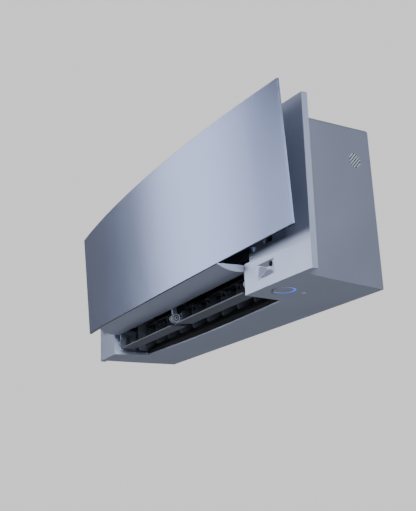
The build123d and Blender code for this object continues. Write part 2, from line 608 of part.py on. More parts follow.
# ---------------------------------------------------------------- rear chassis
end_outer = DUCT_END + SHEET
with BuildPart() as rear_chassis:
    with BuildSketch(SIDE.offset(-end_outer)):
        with BuildLine():
            ThreePointArc((-24, 172), (-33, 104), (-64, 56))
            ThreePointArc((-64, 56), (-90, 32), (-116.5, 12))
        trace(line_width=SHEET)
        Polygon((-25.2, 170), (-25.2, 176), (-12, 176), (-12, 173), (-22.8, 170), align=None)
    extrude(amount=2 * end_outer)
    # back wall and its side frames
    with BuildSketch(FACE.offset(-BACK_WALL_Y)):
        with Locations((0, DATUM)):
            Rectangle(850, 236)
        with Locations((-190, 48)):
            Rectangle(330, 34, mode=Mode.SUBTRACT)
    extrude(amount=SHEET)
    for sign in MIRROR:
        with BuildSketch(SIDE.offset(sign * 422.5)):
            Polygon((BACK_WALL_Y, 32), (-60, 32), (-128, 120), (-128, 258), (-100, 266), (BACK_WALL_Y, 266),
                    align=None)
        extrude(amount=sign * SHEET)
        with BuildSketch(SIDE.offset(sign * DUCT_END)):
            with BuildLine():
                Polyline((-137, 16), (-137, roof_z(-137)), (-128, 112), (-93, 243), (-86, 243), (-36, 180),
                         (-12, 176), (-12, 160), (-26, 160))
                ThreePointArc((-26, 160), (-34, 103), (-64, 56))
                ThreePointArc((-64, 56), (-90, 32), (-116.5, 12))
                Line((-116.5, 12), (-137, 16))
            make_face()
        extrude(amount=sign * SHEET)
    # bearing seat at the left end, motor shaft hole at the right end
    with BuildSketch(SIDE.offset(-end_outer - 1)):
        with Locations(FAN_AXIS):
            Circle(14)
    extrude(amount=5, mode=Mode.SUBTRACT)
    with BuildSketch(SIDE.offset(DUCT_END - 1)):
        with Locations(FAN_AXIS):
            Circle(14)
    extrude(amount=5, mode=Mode.SUBTRACT)
keep("rear_chassis", rear_chassis)

# ---------------------------------------------------------------- drain pan, which is also the duct's roof
with BuildPart() as drain_pan:
    with BuildSketch(SIDE.offset(-DUCT_END)):
        with BuildLine():
            Polyline((-131, roof_z(-131)), (-180, roof_z(-180)), (-180, 98), (-177.5, 98), (-177.5, 79),
                     (-140, 95), (-136.5, 111), (-132, 111), (-127.5, 102))
            ThreePointArc((-127.5, 102), (-127.8, 97.5), (-131, roof_z(-131)))
        make_face()
    extrude(amount=2 * DUCT_END)
    for sign in MIRROR:
        with BuildSketch(SIDE.offset(sign * (DUCT_END - SHEET))):
            Polygon((-178, 78), (-178, 98), (-139, 98), (-139, 94), align=None)
        extrude(amount=sign * SHEET)
keep("drain_pan", drain_pan)

# ---------------------------------------------------------------- cross-flow fan, shaft, bearing and motor
BLADES, SECTIONS = 24, 5
with BuildSketch() as blade_section:
    with BuildLine():
        ThreePointArc((-5, 0), (0, 2.4), (5, -1.5))
        ThreePointArc((5, -1.5), (0, 0.9), (-5, 0))
    make_face()
with BuildPart() as fan_wheel:
    with BuildSketch(SIDE.offset(-FAN_HALF)):
        with Locations(FAN_AXIS):
            with PolarLocations(FAN_R - 6, BLADES):
                add(blade_section.sketch)
    extrude(amount=2 * FAN_HALF)
    for index in range(SECTIONS + 1):
        ring_x = -FAN_HALF + index * (2 * FAN_HALF - SHEET) / SECTIONS
        solid_end = index in (0, SECTIONS)
        with BuildSketch(SIDE.offset(ring_x)):
            with Locations(FAN_AXIS):
                Circle(FAN_R)
                Circle(SHAFT_R if solid_end else FAN_R - 13, mode=Mode.SUBTRACT)
        extrude(amount=SHEET)
keep("fan_wheel", fan_wheel)

with BuildPart() as fan_shafts:
    for start, length in ((-332, 22), (306, 62)):
        with BuildSketch(SIDE.offset(start)):
            with Locations(FAN_AXIS):
                Circle(SHAFT_R)
        extrude(amount=length)
keep("fan_shafts", fan_shafts)

with BuildPart() as fan_bearing:
    with BuildSketch(SIDE.offset(-end_outer - 4)):
        with Locations(FAN_AXIS):
            Circle(14)
            Circle(SHAFT_R + RUN, mode=Mode.SUBTRACT)
    extrude(amount=8)
    with BuildSketch(SIDE.offset(-end_outer - 4)):
        with Locations(FAN_AXIS):
            Circle(18)
            Circle(SHAFT_R + RUN, mode=Mode.SUBTRACT)
    extrude(amount=4)
keep("fan_bearing", fan_bearing)

MOTOR_X, MOTOR_LONG, MOTOR_R = 331.0, 42.0, 38.0
with BuildPart() as fan_motor:
    with BuildSketch(SIDE.offset(MOTOR_X)):
        with Locations(FAN_AXIS):
            Circle(MOTOR_R)
    extrude(amount=MOTOR_LONG)
    chamfer(fan_motor.edges().filter_by(GeomType.CIRCLE), 4)
    with BuildSketch(SIDE.offset(MOTOR_X - 4)):
        with Locations(FAN_AXIS):
            Circle(13)
    extrude(amount=MOTOR_LONG + 8)
    with BuildSketch(SIDE.offset(MOTOR_X - 5)):
        with Locations(FAN_AXIS):
            Circle(SHAFT_R + RUN)
    extrude(amount=MOTOR_LONG + 10, mode=Mode.SUBTRACT)
keep("fan_motor", fan_motor)

with BuildPart() as motor_clamp:
    with BuildSketch(SIDE.offset(MOTOR_X + 12)):
        with Locations(FAN_AXIS):
            Circle(MOTOR_R + 3.5)
        with Locations((-45, FAN_AXIS[1])):
            Rectangle(66, 22)
        with Locations(FAN_AXIS):
            Circle(MOTOR_R, mode=Mode.SUBTRACT)
    extrude(amount=18)
keep("motor_clamp", motor_clamp)

# ---------------------------------------------------------------- heat exchanger
COIL_HALF, COIL_THICK, FIN_GAP = 318.0, 22.0, 8.0
TUBE_R = 3.5


def slab_line(start, end):
    """Length, middle and tilt of a coil slab's centre line."""
    length = hypot(end[0] - start[0], end[1] - start[1])
    middle = ((start[0] + end[0]) / 2, (start[1] + end[1]) / 2)
    return length, middle, degrees(atan2(end[1] - start[1], end[0] - start[0]))


COIL_LINES = {"front": ((-100, 265), (-149, 108)), "rear": ((-75, 257), (-26, 193))}
coil_tubes, bend_pairs = {}, []
for name, (start, end) in COIL_LINES.items():
    length, middle, tilt = slab_line(start, end)
    rows = 2 * round(length / 41)
    along = ((end[0] - start[0]) / length, (end[1] - start[1]) / length)
    out = (-along[1], along[0])
    tube_points = []
    for row in range(rows):
        reach = length * (row + 0.5) / rows
        tube_points.append((start[0] + along[0] * reach, start[1] + along[1] * reach))
    with BuildPart() as coil:
        with BuildSketch(SIDE.offset(-COIL_HALF)):
            with Locations(middle):
                Rectangle(length, COIL_THICK, rotation=tilt)
        extrude(amount=2 * COIL_HALF)
        # the fin pack's gaps, coarser than the real ones
        for face_sign in MIRROR:
            mouth = [middle[i] + face_sign * out[i] * COIL_THICK / 2 for i in (0, 1)]
            gap_plane = Plane(origin=(0, mouth[0], mouth[1] - DATUM), x_dir=(1, 0, 0),
                              z_dir=(0, out[0] * face_sign, out[1] * face_sign))
            with BuildSketch(gap_plane):
                with GridLocations(2 * FIN_GAP, 1, int(COIL_HALF / FIN_GAP), 1):
                    Rectangle(FIN_GAP, length + 2)
            extrude(amount=-3, mode=Mode.SUBTRACT)
    keep("coil_" + name, coil)

    coil_tubes[name] = tube_points
    bend_pairs += [(1, tube_points[row], tube_points[row + 1]) for row in range(0, rows - 1, 2)]
    bend_pairs += [(-1, tube_points[row], tube_points[row + 1]) for row in range(1, rows - 1, 2)]

# the last bend joins the two slabs at the top
bend_pairs.append((-1, coil_tubes["front"][0], coil_tubes["rear"][0]))

with BuildPart() as return_bends:
    for end_sign, a, b in bend_pairs:
        gap = hypot(b[0] - a[0], b[1] - a[1])
        along = ((b[0] - a[0]) / gap, (b[1] - a[1]) / gap)
        bend_plane = Plane(origin=(end_sign * COIL_HALF, (a[0] + b[0]) / 2, (a[1] + b[1]) / 2 - DATUM),
                           x_dir=(0, along[0], along[1]), z_dir=(end_sign, 0, 0))
        with BuildSketch(bend_plane):
            with Locations((gap / 2, 0)):
                Circle(TUBE_R)
        revolve(axis=Axis(bend_plane.origin, (0, -along[1], along[0])), revolution_arc=-end_sign * 180)
keep("return_bends", return_bends)

# refrigerant lines: from the coil's left end down to the unions in the rear pocket
LIQUID_R, GAS_R = 3.175, 4.7625
liquid_start, gas_start = coil_tubes["front"][-1], coil_tubes["rear"][-1]
UNION_X, LIQUID_SEAT, GAS_SEAT = -190.0, (-34.0, 24.0), (-33.0, 46.0)
PIPES = {
    "liquid_pipe": (LIQUID_R, [(-COIL_HALF, *liquid_start), (-345, *liquid_start), (-352, -120, 60),
                               (-352, -52, 26), (-320, *LIQUID_SEAT), (UNION_X, *LIQUID_SEAT)]),
    "gas_pipe": (GAS_R, [(-COIL_HALF, *gas_start), (-362, *gas_start), (-372, -33, 150), (-372, -33, 52),
                         (-330, *GAS_SEAT), (UNION_X, *GAS_SEAT)]),
}
for label, (radius, route) in PIPES.items():
    points = [(x, y, z - DATUM) for x, y, z in route]
    with BuildPart() as pipe:
        with BuildLine():
            path = FilletPolyline(*points, radius=[9, 9, 14, 12][:len(points) - 2])
        with BuildSketch(Plane(origin=path @ 0, z_dir=path % 0)):
            Circle(radius)
        sweep()
    keep(label, pipe)

UNION_LONG, NUT_LONG = 34.0, 14.0
for label, radius, (y, z) in (("liquid_union", LIQUID_R, LIQUID_SEAT), ("gas_union", GAS_R, GAS_SEAT)):
    with BuildPart() as union:
        with BuildSketch(SIDE.offset(UNION_X)):
            with Locations((y, z)):
                RegularPolygon(radius * 2.1, 6)
        extrude(amount=NUT_LONG)
        with BuildSketch(SIDE.offset(UNION_X + NUT_LONG)):
            with Locations((y, z)):
                Circle(radius * 1.65)
        extrude(amount=UNION_LONG - NUT_LONG)
    keep(label, union)

with BuildPart() as drain_spout:
    with BuildSketch(SIDE.offset(-DUCT_END - 1 - 40)):
        with Locations((-158, 78)):
            Circle(8)
            Circle(6, mode=Mode.SUBTRACT)
    extrude(amount=38.5)
    with BuildSketch(SIDE.offset(-DUCT_END - 2.5)):
        with Locations((-158, 84)):
            Rectangle(20, 24)
    extrude(amount=2.5)
keep("drain_spout", drain_spout)

# ---------------------------------------------------------------- air filters behind the panel
FRAME_Y, FRAME_THICK = -161.3, 4.0
FILTER_Y, FILTER_THICK = FRAME_Y - FRAME_THICK, 4.0
FRAME_HALF, FRAME_LOW, FRAME_TOP = 330.0, 98.0, BODY_TOP - WALL     # it stands up to the casing's roof
FILTER_X, FILTER_Z, FILTER_WIDE, FILTER_HIGH = 164.0, 184.0, 312.0, 166.0
for name, sign in SIDES:
    with BuildPart() as air_filter:
        with BuildSketch(FACE.offset(-FILTER_Y)):
            with Locations((sign * FILTER_X, FILTER_Z)):
                RectangleRounded(FILTER_WIDE, FILTER_HIGH, 6)
                with GridLocations(50.5, 40, 6, 4):
                    Rectangle(46, 35, mode=Mode.SUBTRACT)
        extrude(amount=FILTER_THICK)
        # the net, a thin sheet across the grid's back
        with BuildSketch(FACE.offset(-FILTER_Y)):
            with Locations((sign * FILTER_X, FILTER_Z)):
                Rectangle(FILTER_WIDE - 6, FILTER_HIGH - 8)
        extrude(amount=0.5)
        # pull tab at the lower outer corner
        with BuildSketch(FACE.offset(-FILTER_Y)):
            with Locations((sign * (FILTER_X + 144), 96)):
                RectangleRounded(12, 18, 2)
        extrude(amount=FILTER_THICK + 3)
    keep("air_filter_" + name, air_filter)

# frame that the filters slide into
with BuildPart() as filter_frame:
    with BuildSketch(FACE.offset(-FRAME_Y)):
        with Locations((0, (FRAME_LOW + FRAME_TOP) / 2)):
            Rectangle(2 * FRAME_HALF, FRAME_TOP - FRAME_LOW)
            Rectangle(2 * FRAME_HALF - 16, FRAME_TOP - FRAME_LOW - 14, mode=Mode.SUBTRACT)
            Rectangle(8, FRAME_TOP - FRAME_LOW)
    extrude(amount=FRAME_THICK)
keep("filter_frame", filter_frame)

# ---------------------------------------------------------------- electrics at the right end
BOX_LOW_X, BOX_HIGH_X = 382.0, 420.0
with BuildPart() as electrical_box:
    with BuildSketch(SIDE.offset(BOX_LOW_X)):
        Polygon((-14, 50), (-108, 50), (-108, 250), (-14, 250), align=None)
    extrude(amount=BOX_HIGH_X - BOX_LOW_X)
    with BuildSketch(SIDE.offset(BOX_LOW_X + 2)):
        Polygon((-16, 52), (-110, 52), (-110, 248), (-16, 248), align=None)
    extrude(amount=BOX_HIGH_X - BOX_LOW_X - 4, mode=Mode.SUBTRACT)
    # cable entry in the floor of the box
    with BuildSketch(PLAN.offset(45)):
        with Locations((BOX_LOW_X + 19, -34)):
            Circle(7)
    extrude(amount=10, mode=Mode.SUBTRACT)
keep("electrical_box", electrical_box)

with BuildPart() as electrical_cover:
    with BuildSketch(FACE.offset(108)):
        with Locations(((BOX_LOW_X + BOX_HIGH_X) / 2, 150)):
            RectangleRounded(BOX_HIGH_X - BOX_LOW_X, 204, 3)
    extrude(amount=2)
keep("electrical_cover", electrical_cover)

# parts on the board: y, z, width and height
BOARD_PARTS = ((-40, 225, 26, 22), (-80, 215, 18, 34), (-45, 170, 30, 40), (-85, 150, 20, 24))
with BuildPart() as control_board:
    with BuildSketch(SIDE.offset(BOX_LOW_X + 6)):
        Polygon((-18, 110), (-104, 110), (-104, 244), (-18, 244), align=None)
    extrude(amount=1.6)
    with BuildSketch(SIDE.offset(BOX_LOW_X + 7.6)):
        for y, z, wide, high in BOARD_PARTS:
            with Locations((y, z)):
                Rectangle(wide, high)
    extrude(amount=16)
    # standoffs to the box wall
    with BuildSketch(SIDE.offset(BOX_LOW_X + 2)):
        with Locations((-24, 116), (-98, 116), (-24, 238), (-98, 238)):
            Circle(3)
    extrude(amount=4)
keep("control_board", control_board)

with BuildPart() as terminal_block:
    with BuildSketch(SIDE.offset(BOX_LOW_X + 2)):
        Polygon((-40, 62), (-100, 62), (-100, 86), (-40, 86), align=None)
    extrude(amount=20)
    with BuildSketch(SIDE.offset(BOX_LOW_X + 12)):
        with Locations((-70, 74)):
            with GridLocations(14, 1, 4, 1):
                Rectangle(10, 16)
    extrude(amount=10, mode=Mode.SUBTRACT)
keep("terminal_block", terminal_block)

# small stepper motors outside the duct's right cheek and its end plates
for label, seats in (("flap_motor", ((CHEEK_OUT, FLAP_AXIS[0] + 28, 42, 16),)),
                     ("vane_motors", ((end_outer, LINK_Y + 6, 62, 16), (-end_outer, LINK_Y + 6, 62, -16)))):
    with BuildPart() as steppers:
        for x, y, z, reach in seats:
            with BuildSketch(SIDE.offset(x)):
                with Locations((y, z)):
                    Circle(12)
                    SlotOverall(38, 8)
            extrude(amount=reach)
    keep(label, steppers)

# ---------------------------------------------------------------- lamp, button, sensors
LAMP_DEEP = 0.9
with BuildPart() as lamp_bezel:
    with BuildSketch(LAMP_PLANE):
        Circle(LAMP_R)
    extrude(amount=8)
    with BuildSketch(LAMP_PLANE):
        Circle(LAMP_R - 1.5)
    extrude(amount=LAMP_DEEP, mode=Mode.SUBTRACT)
    with BuildSketch(LAMP_PLANE):
        Circle(LAMP_R - 2.5)
        Circle(LAMP_R - 6, mode=Mode.SUBTRACT)
    extrude(amount=5, mode=Mode.SUBTRACT)
keep("lamp_bezel", lamp_bezel)

with BuildPart() as lamp_ring:
    with BuildSketch(LAMP_PLANE.offset(LAMP_DEEP)):
        Circle(LAMP_R - 2.5)
        Circle(LAMP_R - 6, mode=Mode.SUBTRACT)
    extrude(amount=5 - LAMP_DEEP)
keep("lamp_ring", lamp_ring)

BUTTON_LOW = underside_z(BUTTON_X, BUTTON_Y) - 0.6
with BuildPart() as on_off_button:
    with BuildSketch(PLAN.offset(BUTTON_LOW)):
        with Locations((BUTTON_X, BUTTON_Y)):
            Circle(BUTTON_R)
    extrude(amount=9)
    fillet(on_off_button.edges().group_by(Axis.Z)[0], 0.8)
    with BuildSketch(PLAN.offset(BUTTON_LOW + 5.4)):
        with Locations((BUTTON_X, BUTTON_Y)):
            Circle(BUTTON_R + 1.8)
    extrude(amount=1.2)
keep("on_off_button", on_off_button)

with BuildPart() as display_board:
    with BuildSketch(PLAN.offset(18)):
        with Locations((371, -132)):
            RectangleRounded(50, 74, 3)
    extrude(amount=1.6)
    # switch over the button, and the posts that stand on the casing's floor
    with BuildSketch(PLAN.offset(BUTTON_LOW + 10.2)):
        with Locations((BUTTON_X, BUTTON_Y)):
            Rectangle(7, 7)
    extrude(until=Until.NEXT)
    for post_x, post_y in ((350, -100), (392, -100), (350, -165), (392, -165)):
        foot = underside_z(post_x, post_y) + WALL + 0.3
        with BuildSketch(PLAN.offset(foot)):
            with Locations((post_x, post_y)):
                Circle(2.5)
        extrude(amount=18 - foot)
keep("display_board", display_board)

with BuildPart() as presence_sensor:
    with BuildSketch(FACE.offset(158)):
        with Locations((EYE_X, EYE_Z)):
            Rectangle(14, 14)
    extrude(amount=6)
    with BuildSketch(FACE.offset(164)):
        with Locations((EYE_X, EYE_Z)):
            Circle(EYE_R)
    extrude(amount=16)
    fillet(presence_sensor.edges().group_by(Axis.Y)[0], 2.5)
keep("presence_sensor", presence_sensor)

HOLE_R, HOLE_PITCH = 1.0, 3.4
with BuildPart() as side_grille:
    with BuildSketch(GRILLE_PLANE.offset(-WALL)):
        Circle(GRILLE_R)
        Circle(HOLE_R, mode=Mode.SUBTRACT)
        for ring in (1, 2, 3):
            with PolarLocations(ring * HOLE_PITCH, 6 * ring):
                Circle(HOLE_R, mode=Mode.SUBTRACT)
    extrude(amount=WALL - 0.4)
keep("side_grille", side_grille)

with BuildPart() as room_sensor:
    with BuildSketch(GRILLE_PLANE.offset(-WALL - 9)):
        Rectangle(20, 26)
    extrude(amount=7)
    with BuildSketch(GRILLE_PLANE.offset(-WALL - 12)):
        Rectangle(30, 8)
    extrude(amount=3)
keep("room_sensor", room_sensor)

# ---------------------------------------------------------------- mounting plate
BOLT_X, BOLT_Z, BOLT_R = 560.0, 110.0, 2.75
with BuildPart() as mounting_plate:
    with BuildSketch(FACE):
        with Locations((0, DATUM)):
            RectangleRounded(640, 170, 10)
            with GridLocations(BOLT_X, BOLT_Z, 2, 2):
                Circle(BOLT_R, mode=Mode.SUBTRACT)
            with GridLocations(220, 70, 3, 1):
                RectangleRounded(150, 60, 8, mode=Mode.SUBTRACT)
    extrude(amount=1.2)
    # upturned hooks that carry the chassis' back wall
    for hook_x in (-240, 0, 240):
        with BuildSketch(FACE.offset(1.2)):
            with Locations((hook_x, DATUM + 78)):
                Rectangle(60, 3)
        extrude(amount=8.3)
keep("mounting_plate", mounting_plate)

# ---------------------------------------------------------------- screws that hold the casing, behind the panel
with BuildPart() as casing_screws:
    for screw_x in SCREW_XS:
        with BuildSketch(FACE.offset(screw_face(screw_x) - SCREW_DEEP)):
            with Locations((screw_x, SCREW_Z)):
                Circle(SCREW_R)
        extrude(amount=4)
keep("casing_screws", casing_screws)

os.makedirs("parts", exist_ok=True)
for label, solid in pieces.items():
    export_step(solid, f"parts/{label}.step")
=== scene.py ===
"""Looks of the mini split indoor unit: finishes, fine detail, light and the photograph's camera."""
import json
from itertools import product
from math import cos, pi, radians, sin, tau

import bmesh
import bpy
from mathutils import Matrix, Vector


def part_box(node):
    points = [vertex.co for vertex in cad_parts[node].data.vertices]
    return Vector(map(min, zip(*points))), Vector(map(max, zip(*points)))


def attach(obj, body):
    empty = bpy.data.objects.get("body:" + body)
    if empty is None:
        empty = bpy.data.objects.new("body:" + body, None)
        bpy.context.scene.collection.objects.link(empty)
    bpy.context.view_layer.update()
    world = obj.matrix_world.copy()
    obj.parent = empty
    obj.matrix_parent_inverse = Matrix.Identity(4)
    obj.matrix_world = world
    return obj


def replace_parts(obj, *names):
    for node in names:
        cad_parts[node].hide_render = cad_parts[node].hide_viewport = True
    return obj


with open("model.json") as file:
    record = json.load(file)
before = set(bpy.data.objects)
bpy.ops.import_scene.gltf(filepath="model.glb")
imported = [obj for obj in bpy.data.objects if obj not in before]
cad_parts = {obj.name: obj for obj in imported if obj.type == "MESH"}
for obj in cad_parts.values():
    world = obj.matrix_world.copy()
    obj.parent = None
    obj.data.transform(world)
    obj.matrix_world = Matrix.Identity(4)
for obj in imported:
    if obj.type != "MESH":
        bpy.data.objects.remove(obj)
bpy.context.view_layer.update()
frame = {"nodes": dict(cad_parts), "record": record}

MM = 0.001
DATUM = 0.150       # the frame's origin stands this far above the casing's lowest edge
WHITE = (1.0, 1.0, 1.0)
BLACK = (0.0, 0.0, 0.0)

# ------------------------------------------------ camera of the photograph
CAM_PLACE = Vector((1.6551, -0.8974, -0.4418))
CAM_YAW = 1.12286
CAM_PITCH = 0.24217
CAM_ROLL = -0.05967
FOCAL_PX = 927.12
IMAGE_HIGH_PX = 511
SENSOR_MM = 36.0
CLIP_NEAR = 0.01
CLIP_FAR = 100.0


def camera_at_photo():
    """The photograph's camera, from the place and turns that were fitted to it."""
    forward = Vector((-sin(CAM_YAW) * cos(CAM_PITCH), cos(CAM_YAW) * cos(CAM_PITCH), sin(CAM_PITCH)))
    level = Vector((cos(CAM_YAW), sin(CAM_YAW), 0))
    upward = level.cross(forward)
    right = cos(CAM_ROLL) * level + sin(CAM_ROLL) * upward
    above = -sin(CAM_ROLL) * level + cos(CAM_ROLL) * upward
    data = bpy.data.cameras.new("photo_camera")
    data.sensor_fit = "AUTO"
    data.sensor_width = SENSOR_MM
    data.lens = FOCAL_PX * SENSOR_MM / IMAGE_HIGH_PX
    data.clip_start = CLIP_NEAR
    data.clip_end = CLIP_FAR
    camera = bpy.data.objects.new("photo_camera", data)
    bpy.context.scene.collection.objects.link(camera)
    turn = Matrix((right, above, -forward)).transposed().to_4x4()
    camera.matrix_world = Matrix.Translation(CAM_PLACE) @ turn
    bpy.context.scene.camera = camera


camera_at_photo()

# ------------------------------------------------ material building
DRIFT_DETAIL = 4.0
DRIFT_START = 0.3           # noise up to here has the darker tint
DRIFT_END = 0.7             # and from here on the lighter one
GRAIN_DETAIL = 2.0
GRAIN_DEPTH = 0.4 * MM
LEAST_ROUGHNESS = 0.03


def new_node(tree, kind, values=None, **settings):
    """A shader node: its own settings first, then the values on its sockets."""
    node = tree.nodes.new(kind)
    for name, setting in settings.items():
        setattr(node, name, setting)
    for socket, value in (values or {}).items():
        node.inputs[socket].default_value = value
    return node


def new_ramp(tree, steps, interpolation="LINEAR"):
    """A colour ramp through the given steps, each a position and a colour."""
    node = tree.nodes.new("ShaderNodeValToRGB")
    node.color_ramp.interpolation = interpolation
    marks = node.color_ramp.elements
    for mark, (position, colour) in zip(marks, (steps[0], steps[-1])):
        mark.position = position
        mark.color = (*colour, 1)
    for position, colour in steps[1:-1]:
        marks.new(position).color = (*colour, 1)
    return node


def finish_of(name, colour, roughness, metallic=0.0, grain=0.0, grain_scale=900.0, mottle=0.05,
              mottle_scale=9.0, rough_spread=0.06, coat=0.0, specular=0.5, stretch=(1, 1, 1)):
    """A procedural finish: slow colour drift, uneven roughness and a fine surface grain."""
    material = bpy.data.materials.new(name)
    material.use_nodes = True
    tree = material.node_tree
    link = tree.links.new
    shader = tree.nodes["Principled BSDF"]
    shader.inputs["Metallic"].default_value = metallic
    shader.inputs["Coat Weight"].default_value = coat
    shader.inputs["Specular IOR Level"].default_value = specular
    place = new_node(tree, "ShaderNodeTexCoord")
    spread = new_node(tree, "ShaderNodeMapping", {"Scale": stretch})
    link(place.outputs["Object"], spread.inputs["Vector"])

    drift = new_node(tree, "ShaderNodeTexNoise", {"Scale": mottle_scale, "Detail": DRIFT_DETAIL})
    link(spread.outputs["Vector"], drift.inputs["Vector"])
    darker = [c * (1 - mottle) for c in colour]
    lighter = [min(1, c * (1 + mottle)) for c in colour]
    tint = new_ramp(tree, ((DRIFT_START, darker), (DRIFT_END, lighter)))
    link(drift.outputs["Fac"], tint.inputs["Fac"])
    link(tint.outputs["Color"], shader.inputs["Base Color"])

    smoothest = max(LEAST_ROUGHNESS, roughness - rough_spread)
    roughest = min(1.0, roughness + rough_spread)
    uneven = new_node(tree, "ShaderNodeMapRange", {"To Min": smoothest, "To Max": roughest})
    link(drift.outputs["Fac"], uneven.inputs["Value"])
    link(uneven.outputs["Result"], shader.inputs["Roughness"])
    if grain:
        fine = new_node(tree, "ShaderNodeTexNoise", {"Scale": grain_scale, "Detail": GRAIN_DETAIL})
        bump = new_node(tree, "ShaderNodeBump", {"Strength": grain, "Distance": GRAIN_DEPTH})
        link(spread.outputs["Vector"], fine.inputs["Vector"])
        link(fine.outputs["Fac"], bump.inputs["Height"])
        link(bump.outputs["Normal"], shader.inputs["Normal"])
    return material


# ------------------------------------------------ finishes
FINISHES = {        # colour, roughness, share of metal, and what differs from a plain finish
    "silver_casing": ((0.51, 0.55, 0.70), 0.42, 0.80, dict(grain=0.10, mottle=0.02)),
    "silver_panel": ((0.31, 0.35, 0.53), 0.23, 0.85,
                     dict(grain=0.04, mottle=0.015, rough_spread=0.02)),
    "flap_grey": ((0.37, 0.40, 0.52), 0.45, 0.30, dict(grain=0.10, mottle=0.03)),
    "blade_grey": ((0.095, 0.107, 0.145), 0.42, 0.0, dict(grain=0.10, mottle=0.03)),
    "dark_plastic": ((0.030, 0.033, 0.041), 0.50, 0.0, dict(grain=0.25, grain_scale=1400)),
    "vane_grey": ((0.12, 0.132, 0.165), 0.45, 0.0, dict(grain=0.15)),
    "arm_plastic": ((0.52, 0.55, 0.62), 0.42, 0.0, dict(grain=0.08)),
    "filter_mesh": ((0.045, 0.047, 0.055), 0.60, 0.0, dict(grain=0.20)),
    "fan_plastic": ((0.030, 0.030, 0.034), 0.40, 0.0, dict(grain=0.10)),
    "steel": ((0.55, 0.55, 0.56), 0.28, 1.0,
              dict(grain=0.05, stretch=(1, 1, 30), rough_spread=0.10)),
    "bearing_rubber": ((0.012, 0.012, 0.012), 0.75, 0.0, dict(grain=0.30)),
    "motor_case": ((0.55, 0.55, 0.53), 0.36, 0.90, dict(grain=0.08, rough_spread=0.10)),
    "zinc_steel": ((0.56, 0.58, 0.60), 0.42, 0.95,
                   dict(grain=0.10, mottle=0.12, mottle_scale=60)),
    "fin_aluminium": ((0.74, 0.76, 0.78), 0.30, 0.95, dict(mottle=0.08, mottle_scale=30)),
    "copper": ((0.72, 0.38, 0.23), 0.30, 1.0, dict(grain=0.05, mottle=0.14, mottle_scale=40)),
    "brass": ((0.72, 0.55, 0.26), 0.28, 1.0, dict(grain=0.05, mottle=0.08, mottle_scale=60)),
    "board_green": ((0.03, 0.13, 0.06), 0.35, 0.0,
                    dict(grain=0.08, mottle=0.10, mottle_scale=70)),
    "terminal_white": ((0.72, 0.72, 0.69), 0.45, 0.0, dict(grain=0.10)),
    "lamp_lens": ((0.03, 0.045, 0.11), 0.22, 0.0, dict(mottle=0.08, coat=0.5)),
    "button_grey": ((0.92, 0.95, 1.0), 0.35, 0.0, dict(grain=0.08)),
    "sensor_black": ((0.008, 0.008, 0.010), 0.45, 0.0, dict(specular=0.15)),
    "bracket_grey": ((0.66, 0.70, 0.80), 0.40, 0.20, dict(grain=0.10, mottle=0.03)),
}
GLOW_TOWARDS = Vector((0.05, 1.0, 0))       # the way in which the glow grows
# painted shadow: the black first step darkens the ring's side towards the room, where the groove's
# front wall shades it
GLOW_AND_SHADE_STEPS = ((0.14, BLACK), (0.36, (0.20, 0.22, 0.44)), (0.8, (0.06, 0.17, 1.0)))
GLOW_STRENGTH = 1.3
HINGE_PLACE = (0, -179 * MM, 31 * MM - DATUM)
BOSS_R = 9.5 * MM
# painted shade: the dark rings stand for the shade in the boss's hollow and round groove
BOSS_SHADE_RINGS = (              # from this share of the boss's radius on: how dark it is
    (0.0, 1.0), (0.2, 0.0), (0.42, 1.0), (0.62, 0.0), (0.86, 0.6), (0.999, 1.0),
)
# painted shadow on the bracket beyond its boss
BRACKET_SHADOW = (0.035, 0.04, 0.05)


def add_glow_and_shade(material):
    """The running lamp's light, blue towards the wall, with painted shadow that darkens the ring to
    black towards the room.
    """
    tree = material.node_tree
    link = tree.links.new
    shader = tree.nodes["Principled BSDF"]
    low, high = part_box("lamp_ring")
    middle = ((low + high) / 2).dot(GLOW_TOWARDS)
    reach = (high[0] - low[0]) / 2
    place = new_node(tree, "ShaderNodeTexCoord")
    across = new_node(tree, "ShaderNodeVectorMath", {1: GLOW_TOWARDS}, operation="DOT_PRODUCT")
    share = new_node(tree, "ShaderNodeMapRange",
                     {"From Min": middle - reach, "From Max": middle + reach})
    glow_and_shade = new_ramp(tree, GLOW_AND_SHADE_STEPS)
    link(place.outputs["Object"], across.inputs[0])
    link(across.outputs["Value"], share.inputs["Value"])
    link(share.outputs["Result"], glow_and_shade.inputs["Fac"])
    link(glow_and_shade.outputs["Color"], shader.inputs["Emission Color"])
    shader.inputs["Emission Strength"].default_value = GLOW_STRENGTH


def add_boss_painted_shade(material):
    """Painted shade on the middle bracket: dark rings on its round boss, and painted shadow on the
    bracket beyond the boss.
    """
    tree = material.node_tree
    link = tree.links.new
    shader = tree.nodes["Principled BSDF"]
    boss_colour = shader.inputs["Base Color"].links[0].from_socket
    place = new_node(tree, "ShaderNodeTexCoord")
    flat = new_node(tree, "ShaderNodeVectorMath", {1: (0, 1, 1)}, operation="MULTIPLY")
    reach = new_node(tree, "ShaderNodeVectorMath", {1: HINGE_PLACE}, operation="DISTANCE")
    share = new_node(tree, "ShaderNodeMapRange", {"From Max": BOSS_R})
    shades = [(start, (dark, dark, dark)) for start, dark in BOSS_SHADE_RINGS]
    rings = new_ramp(tree, shades, "CONSTANT")
    both = new_node(tree, "ShaderNodeMix", {"B": (*BRACKET_SHADOW, 1)}, data_type="RGBA")
    link(place.outputs["Object"], flat.inputs[0])
    link(flat.outputs["Vector"], reach.inputs[0])
    link(reach.outputs["Value"], share.inputs["Value"])
    link(share.outputs["Result"], rings.inputs["Fac"])
    link(rings.outputs["Color"], both.inputs["Factor"])
    link(boss_colour, both.inputs["A"])
    link(both.outputs["Result"], shader.inputs["Base Color"])


finishes = {}
for name, (colour, roughness, metallic, others) in FINISHES.items():
    finishes[name] = finish_of(name, colour, roughness, metallic, **others)
add_glow_and_shade(finishes["lamp_lens"])
add_boss_painted_shade(finishes["bracket_grey"])

